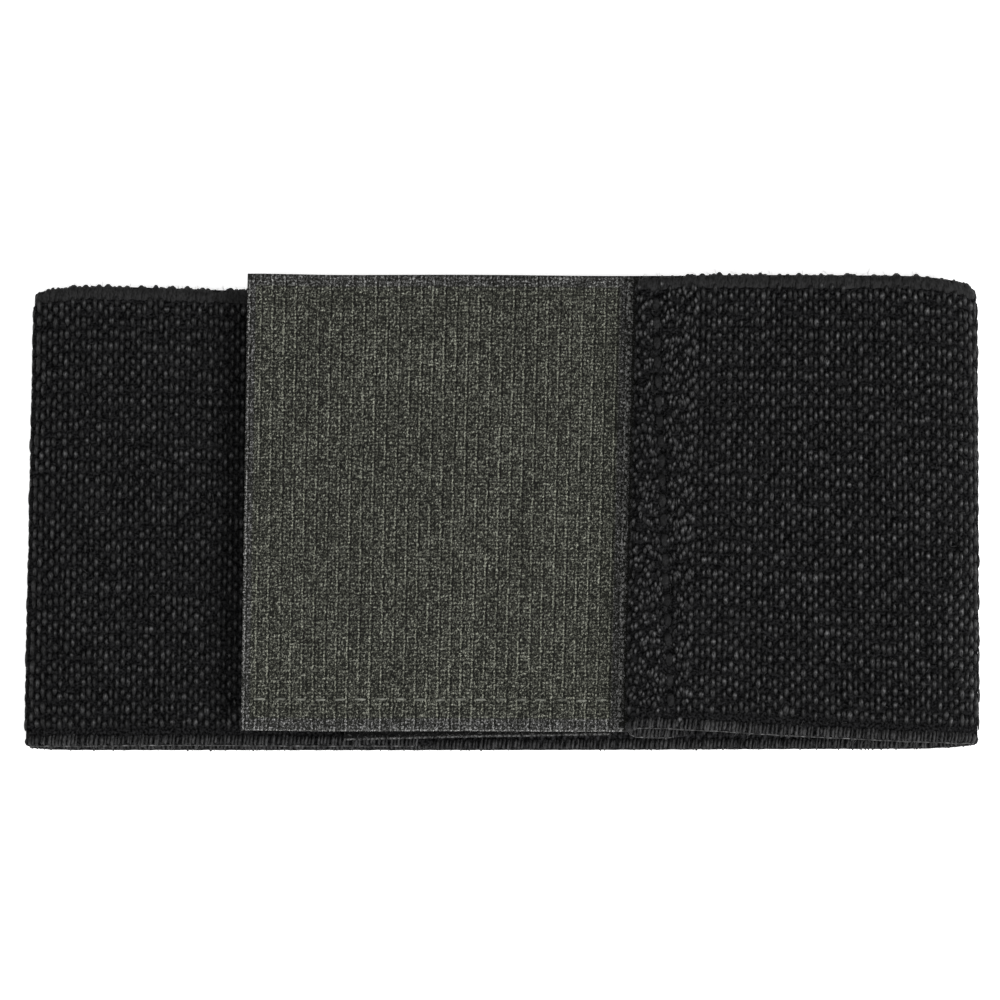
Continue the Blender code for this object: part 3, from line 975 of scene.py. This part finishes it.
pile_place += chance.normal(0, 1, pile_place.shape) * PILE_STRAY
lay(pile_data, set_at(pile, pile_place), on_loop_tape)
pile_finish = Finish("dark_loop_pile", 0.6, 0.15)
pile_noise = pile_finish.speckle(pile_finish.cloth_place(), 1800.0)
pile_finish.wear(colour=pile_finish.mixed(pile_noise.between(0.35, 0.8), PILE_DARK, PILE_LIGHT))
add_piece("loop_pile", pile_data, pile_finish.material, 80)

# The hook tape
# The hooks' side of the tab, which faces down and holds on to the loop pile. Its hooks are bent
# from stiff nylon in rows.
HOOK_WIDTH = 0.0580
HOOK_SETBACK = 0.0005
HOOK_BASE_THICK = 0.00022
HOOK_BEND = 0.00014
HOOK_WIRE = 0.00006
HOOK_STEP = 0.0014
TAB_UNDER_HEM = 0.0070
TAB_DRIFT = (1.14, 1.30)
TAB_END_SLANT = 0.2
HOOK_DARK = (0.016, 0.017, 0.014)
HOOK_LIGHT = (0.070, 0.072, 0.060)
tab_right = hem_left + TAB_UNDER_HEM
hook_left = tab_left + HOOK_SETBACK
hook_right = tab_right - HOOK_SETBACK


def hook_middle(x):
    """The middle height of the hook tape and its hooks."""
    return hook_height(x) + HOOK_THICK / 2


def on_hook_tape(flat):
    """Lays flat points of the hook tape."""
    return on_tape(flat, hook_left, hook_right, hook_middle, TAB_DRIFT, (TAB_END_SLANT, 1.0))


hook_finish = Finish("olive_hook_nylon", 0.5, 0.3)
hook_noise = hook_finish.speckle(hook_finish.cloth_place(), 1500.0)
hook_finish.wear(
    colour=hook_finish.mixed(hook_noise, HOOK_DARK, HOOK_LIGHT),
    height=hook_noise,
    distance=0.00008,
)
hook_places = np.linspace(0, hook_right - hook_left, round((hook_right - hook_left) / TAPE_STEP) + 1)
hook_data = mesh_of(
    "hook_tape_cloth", strip_of(tape_outline(HOOK_WIDTH, HOOK_BASE_THICK, 40), hook_places)
)
hook_flat = points_of(hook_data)
hook_flat[:, 2] += (HOOK_THICK - HOOK_BASE_THICK) / 2
lay(hook_data, hook_flat, on_hook_tape)
hook_tape = add_piece("hook_tape_cloth", hook_data, hook_finish.material, 50)
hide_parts("hook_tape")

HOOK_ARC = math.radians(230)
hook_along, hook_across = even_places(hook_right - hook_left, HOOK_WIDTH, HOOK_STEP)
hook_count = len(hook_along)
hooks_data, hooks = copies_of("hooks", bent_wire(HOOK_WIRE, HOOK_BEND, -HOOK_ARC, 5), hook_count)
chance = np.random.default_rng(10)
hooks = turned(hooks, np.pi * chance.integers(0, 2, hook_count) + chance.normal(0, 0.2, hook_count))
hooks_place = flat_places(hook_along, hook_across, HOOK_THICK / 2 - HOOK_BASE_THICK - HOOK_BEND)
lay(hooks_data, set_at(hooks, hooks_place), on_hook_tape)
add_piece("hooks", hooks_data, hook_finish.material, 80)

# The tab's tape
# The woven back of the hook tape, olive grey, which shows as the tab. Its fine warps run across the
# band, every third one is stiffer and lighter, and its right end is sewn in under the hem.
TAB_WIDTH = 0.0594
TAB_WARP = 0.0014535 / 3
TAB_WEFT = 0.000483
TAB_RELIEF = 0.00006
TAB_SELVEDGE = 0.0018
TAB_DARK = (0.0035, 0.0036, 0.0028)
TAB_OLIVE = (0.30, 0.31, 0.245)
TAB_GREY = (0.34, 0.34, 0.335)
TAB_CONTRAST = 1.5
TAB_BRIGHTNESS = 3.6
TAB_END_GREY = 0.0012  # how far the greyer yarns reach from the free end
TAB_HEM_GREY = 0.0020  # and from the hem
TAB_HEM_SHADE = 0.0001


def tab_middle(x):
    """The middle height of the tab's tape."""
    return hook_height(x) + tab_over_hook + TAB_THICK / 2


def on_tab(flat):
    """Lays flat points of the tab's tape."""
    return on_tape(flat, tab_left, tab_right, tab_middle, TAB_DRIFT, (TAB_END_SLANT, 1.0))


tab_finish = Finish("olive_woven_tape", 0.75, 0.12)
tab_along, tab_across, tab_out = tab_finish.cloth_place()
sway = tab_finish.speckle((tab_along * 0.6, tab_across, 0.001), 900.0) - 0.5
slip = tab_finish.speckle((tab_along, tab_across * 0.6, 0.007), 1100.0) - 0.5
warp_place = tab_along / TAB_WARP + sway * 0.7
weft_place = tab_across / TAB_WEFT + slip * 1.5
fine_yarns = tab_finish.speckle((tab_along * 1.7, tab_across * 0.8, 0.017), 4400.0, 1.0)
fine_yarns = fine_yarns.between(0.38, 0.62)
lumps = (0.4 + weft_place.wave() * 0.6) * (0.1 + warp_place.wave() * 0.35 + fine_yarns * 0.8)
weave_turn = (warp_place.whole() + weft_place.whole()).over(2.0)
yarn = tab_finish.speckle((tab_along * 1.5, tab_across, 0.013), 1900.0, 1.0).between(0.30, 0.70)
stiff_place = (warp_place / 3.0).over(1.0)
stiff_line = abs(stiff_place - 0.17).between(0.10, 0.02)
dark_line = abs(stiff_place - 0.36).between(0.10, 0.02)
dashes = tab_finish.speckle((tab_along * 3.0, tab_across * 0.5, 0.029), 700.0).between(0.34, 0.60)
fibre_noise = tab_finish.speckle((tab_along, tab_across, tab_out), 5400.0, 1.0).between(0.34, 0.66)
tab_patches = tab_finish.speckle((tab_along * 2.0, tab_across * 0.5, 0.031), 150.0)
selvedge_from = TAB_WIDTH / 2 - TAB_SELVEDGE
in_selvedge = abs(tab_across).between(selvedge_from, selvedge_from + 0.0004)
at_free_end = tab_along.between(TAB_END_GREY, TAB_END_GREY - 0.0003)
hem_along = hem_left - tab_left
at_hem = tab_along.between(hem_along - TAB_HEM_GREY, hem_along - TAB_HEM_GREY + 0.0003)
# A thin band of the tab just outside the hem is painted darker, a painted shadow of the hem's edge.
painted_hem_shadow = tab_along.between(hem_along - TAB_HEM_SHADE - 0.0002, hem_along - TAB_HEM_SHADE)
# The tab's near long edge is painted a little lighter, a painted highlight where it faces the light.
low_edge_highlight = tab_across.between(-TAB_WIDTH / 2 + 0.0004, -TAB_WIDTH / 2 + 0.0001)
bright = 0.08 + yarn * 0.20 + weave_turn * 0.03 + stiff_line * dashes * 0.23 - dark_line * 0.08
bright = bright + low_edge_highlight * 0.06
tab_tone = (0.05 + lumps) * bright * (0.35 + fibre_noise * 1.3) * (0.8 + tab_patches * 0.4)
tab_tone = tab_tone ** TAB_CONTRAST * TAB_BRIGHTNESS * (1.0 - painted_hem_shadow * 0.85)
edge_grey = in_selvedge + at_free_end + at_hem
yarn_colour = tab_finish.mixed(edge_grey * 0.8 + yarn * 0.2, TAB_OLIVE, TAB_GREY)
tab_finish.wear(
    colour=tab_finish.mixed(tab_tone, TAB_DARK, yarn_colour),
    height=lumps * (0.5 + yarn) + fibre_noise * 0.6 + stiff_line * 0.4,
    distance=0.00022,
)
tab_steps = round((tab_right - tab_left) / (TAB_WARP / 2))
tab_cuts = round(TAB_WIDTH / (TAB_WEFT / 2))
tab_places = np.arange(tab_steps + 1) * (TAB_WARP / 2)
tab_data = mesh_of("tab_tape", strip_of(tape_outline(TAB_WIDTH, TAB_THICK, tab_cuts), tab_places))
tab_flat = points_of(tab_data)
tab_warps = tab_flat[:, 0] / TAB_WARP
tab_wefts = tab_flat[:, 1] / TAB_WEFT
tab_lumps = np.abs(np.sin(math.pi * tab_warps) * np.sin(math.pi * tab_wefts))
tab_top = tab_flat[:, 2] > TAB_THICK * 0.4
chance = np.random.default_rng(11)
tab_flat[:, 2] += tab_top * TAB_RELIEF * (tab_lumps - 0.5 + chance.normal(0, 0.35, len(tab_flat)))
lay(tab_data, tab_flat, on_tab)
tab_tape = add_piece("tab_tape", tab_data, tab_finish.material, 60)
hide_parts("tab_backing")

# The tab's stitches
# Two rows of olive thread near the tab's long edges hold the hook tape to its back.
TAB_STITCH = 0.00257
TAB_THREAD_RADIUS = 0.00017
LOW_ROW = -TAB_WIDTH / 2 + 0.0040
HIGH_ROW = TAB_WIDTH / 2 - 0.0029
THREAD_OLIVE = (0.012, 0.013, 0.010)
THREAD_OLIVE_LIGHT = (0.22, 0.225, 0.195)
ROW_PAINTED_SHADES = (1.0, 0.12)  # the far row is painted much darker, a painted shade where it sits low in the tape
ROW_HEIGHTS = (0.00005, -0.00009)
TAB_STITCH_STRAY = (0.00005, 0.00004, 0.00002)
row_count = math.floor((hem_left - tab_left - 0.001) / TAB_STITCH)
tab_row_data, tab_stitches = stitch_row(
    "tab_stitches", 2 * row_count, TAB_THREAD_RADIUS, TAB_STITCH * 0.68
)
chance = np.random.default_rng(12)
tab_stitches = turned(tab_stitches, math.pi / 2 + chance.normal(0, 0.04, 2 * row_count))
tab_row_place = flat_places(
    0.001 + (np.tile(np.arange(row_count), 2) + 0.5) * TAB_STITCH,
    np.repeat([LOW_ROW, HIGH_ROW], row_count),
    TAB_THICK / 2 + np.repeat(ROW_HEIGHTS, row_count),
)
tab_row_place += chance.normal(0, 1, tab_row_place.shape) * TAB_STITCH_STRAY
lay(tab_row_data, set_at(tab_stitches, tab_row_place), on_tab)
keep_shades(tab_row_data, np.repeat(ROW_PAINTED_SHADES, row_count) * chance.uniform(0.5, 1.0, 2 * row_count))
olive_thread = thread_finish("olive_thread", THREAD_OLIVE, THREAD_OLIVE_LIGHT, 0.00008)
add_piece("tab_stitches", tab_row_data, olive_thread, 80)

# The knots beside the hem
# A light thread runs along the tab's right end, just outside the hem, as a column of small knots.
KNOT_PITCH = 0.00092
KNOT_FROM_HEM = 0.00062
KNOT_SIZE = (0.00036, 0.00052, 0.00022)
KNOT_SUNK = 0.00002
KNOT_STRAY = (0.00004, 0.00008, 0.00002)
KNOT_DARK = (0.03, 0.03, 0.03)
KNOT_LIGHT = (0.26, 0.262, 0.25)
knots_across = np.arange(-TAB_WIDTH / 2 + 0.0012, TAB_WIDTH / 2 - 0.0006, KNOT_PITCH)
knot_data, knots = copies_of("hem_knots", grain(6, KNOT_SIZE), len(knots_across))
chance = np.random.default_rng(13)
knots *= chance.normal(1.0, 0.15, (len(knots_across), 1, 3)).clip(0.6, 1.4)
knot_place = flat_places(hem_left - tab_left - KNOT_FROM_HEM, knots_across, TAB_THICK / 2 - KNOT_SUNK)
knot_place += chance.normal(0, 1, knot_place.shape) * KNOT_STRAY
lay(knot_data, set_at(knots, knot_place), on_tab)
keep_shades(knot_data, chance.uniform(0.4, 1.0, len(knots_across)))
light_thread = thread_finish("light_thread", KNOT_DARK, KNOT_LIGHT, 0.00008)
add_piece("hem_knots", knot_data, light_thread, 80)

# The floor, the light and the camera
# A white surface in a white room, with a large soft light at the front right, seen almost from
# above.
floor_mesh = bmesh.new()
bmesh.ops.create_grid(floor_mesh, x_segments=1, y_segments=1, size=2.0)
floor_data = mesh_of("floor", floor_mesh)
floor = bpy.data.objects.new("floor", floor_data)
bpy.context.scene.collection.objects.link(floor)
floor_finish = Finish("floor_white", 0.9, 0.0)
floor_finish.shader.inputs["Base Color"].default_value = (0.92, 0.92, 0.92, 1.0)
floor_finish.shader.inputs["Emission Color"].default_value = (1.0, 1.0, 1.0, 1.0)
floor_finish.shader.inputs["Emission Strength"].default_value = 0.5
floor_data.materials.append(floor_finish.material)

world = bpy.data.worlds.new("studio")
bpy.context.scene.world = world
world.use_nodes = True
world.node_tree.nodes["Background"].inputs["Color"].default_value = (1.0, 1.0, 1.0, 1.0)
world.node_tree.nodes["Background"].inputs["Strength"].default_value = 0.60


def soft_box(name, place, size, watts):
    """A square soft light at a place, turned to the garter."""
    light = bpy.data.lights.new(name, "AREA")
    light.size = size
    light.energy = watts
    lamp = bpy.data.objects.new(name, light)
    lamp.location = place
    lamp.rotation_euler = (-Vector(place)).to_track_quat("-Z", "Y").to_euler()
    bpy.context.scene.collection.objects.link(lamp)


soft_box("key", (0.60, -0.55, 0.62), 0.40, 11.0)
soft_box("top", (-0.10, -0.30, 1.00), 0.60, 4.0)

VIEW_ELEVATION = math.radians(78)
VIEW_DISTANCE = 0.80
VIEW_LENS = 224.5
VIEW_AIM = Vector((-0.0005, 0.0022, 0.0))
camera_data = bpy.data.cameras.new("camera")
camera_data.lens = VIEW_LENS
camera_data.sensor_width = 36.0
camera_data.clip_start = 0.01
camera = bpy.data.objects.new("camera", camera_data)
towards = Vector((0.0, -math.cos(VIEW_ELEVATION), math.sin(VIEW_ELEVATION)))
camera.location = VIEW_AIM + towards * VIEW_DISTANCE
camera.rotation_euler = (-towards).to_track_quat("-Z", "Y").to_euler()
bpy.context.scene.collection.objects.link(camera)
bpy.context.scene.camera = camera
bpy.context.scene.view_settings.view_transform = "Standard"
